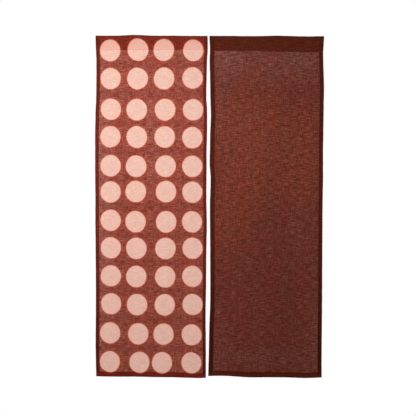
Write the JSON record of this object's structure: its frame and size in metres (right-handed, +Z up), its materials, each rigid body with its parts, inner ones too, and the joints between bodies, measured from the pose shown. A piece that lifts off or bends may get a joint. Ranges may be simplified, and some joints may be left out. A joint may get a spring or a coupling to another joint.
{
  "type": "noren curtain",
  "caption": "Split linen door curtain: a dotted panel beside a plain one, each with a rod pocket along its top and narrow hems.",
  "frame": {"origin": "middle of the top edge, over the slit between the panels, where the unseen rod carries the curtain", "axes": "+X across the doorway to the right, -Y towards the viewer, so the hems turn to +Y, and +Z up"},
  "size_m": [0.9381, 0.0178, 1.4076],
  "materials": {
    "dotted_linen": "matt sheer slubbed linen in rust red with pale pink dots left undyed",
    "plain_linen": "matt sheer slubbed linen in dark red brown"
  },
  "bodies": {
    "root": {"heading_dotted": "dotted_linen", "panel_dotted": "dotted_linen", "heading_plain": "plain_linen", "panel_plain": "plain_linen"}
  },
  "joints": []
}
